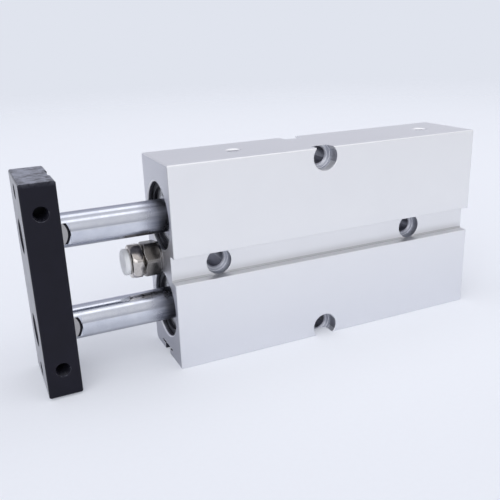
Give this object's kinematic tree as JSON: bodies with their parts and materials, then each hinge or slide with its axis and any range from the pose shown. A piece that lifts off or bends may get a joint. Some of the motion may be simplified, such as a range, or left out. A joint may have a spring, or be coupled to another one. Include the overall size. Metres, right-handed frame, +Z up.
{
  "type": "guided pneumatic cylinder",
  "caption": "Flat guided pneumatic cylinder: side-by-side chromed rods slide from a grooved aluminium body and carry a black tool plate, with a stop bolt between them.",
  "frame": {"origin": "middle of the footprint at rest: on the narrow face that the cylinder stands on, at half its depth, half way between the face of the tool plate and the rear end", "axes": "+X along the stroke, from the tool plate towards the closed rear end; +Y from the grooved mounting face towards the plain mounting face; +Z up across the width of the body, towards the face with the air ports"},
  "size_m": [0.1466, 0.025, 0.062],
  "materials": {
    "clear_anodised": "satin clear anodised aluminium extrusion",
    "machined_aluminium": "turned aluminium, bare",
    "black_anodised": "black anodised aluminium",
    "hard_chrome": "hard chrome plate, ground and polished",
    "nickel_plated_steel": "bright nickel plated steel",
    "zinc_plated_steel": "zinc plated steel",
    "black_oxide_steel": "black oxide steel",
    "phosphated_spring_steel": "black phosphated spring steel",
    "sintered_bronze": "oil-filled sintered bronze",
    "black_nitrile": "black nitrile rubber",
    "white_urethane": "translucent white cast urethane",
    "bonded_ferrite": "plastic-bonded ferrite magnet",
    "wear_ring_resin": "ivory acetal resin"
  },
  "bodies": {
    "barrel": {"cylinder_body": "clear_anodised", "stop_bolt": "nickel_plated_steel", "stop_nut": "nickel_plated_steel", "stop_bumper": "white_urethane", "front_gland_upper": "machined_aluminium", "front_gland_lower": "machined_aluminium", "rod_seal_upper": "black_nitrile", "rod_seal_lower": "black_nitrile", "rod_bushing_upper": "sintered_bronze", "rod_bushing_lower": "sintered_bronze", "gland_o_ring_upper": "black_nitrile", "gland_o_ring_lower": "black_nitrile", "front_bumper_upper": "white_urethane", "front_bumper_lower": "white_urethane", "front_circlip_upper": "phosphated_spring_steel", "front_circlip_lower": "phosphated_spring_steel", "rear_cover_upper": "machined_aluminium", "rear_cover_lower": "machined_aluminium", "cover_o_ring_upper": "black_nitrile", "cover_o_ring_lower": "black_nitrile", "rear_bumper_upper": "white_urethane", "rear_bumper_lower": "white_urethane", "rear_circlip_upper": "phosphated_spring_steel", "rear_circlip_lower": "phosphated_spring_steel"},
    "carriage": {"tool_plate": "black_anodised", "plate_screws": "black_oxide_steel", "piston_rod_upper": "hard_chrome", "piston_rod_lower": "hard_chrome", "piston_upper": "machined_aluminium", "piston_lower": "machined_aluminium", "piston_seals_upper": "black_nitrile", "piston_seals_lower": "black_nitrile", "magnet_ring_upper": "bonded_ferrite", "magnet_ring_lower": "bonded_ferrite", "wear_ring_upper": "wear_ring_resin", "wear_ring_lower": "wear_ring_resin", "piston_nut_upper": "zinc_plated_steel", "piston_nut_lower": "zinc_plated_steel"}
  },
  "joints": [
    {"name": "rod_slide", "type": "slide", "parent": "barrel", "child": "carriage", "axis": [-1, 0, 0], "range_m": [-0.0176, 0.0324]}
  ]
}
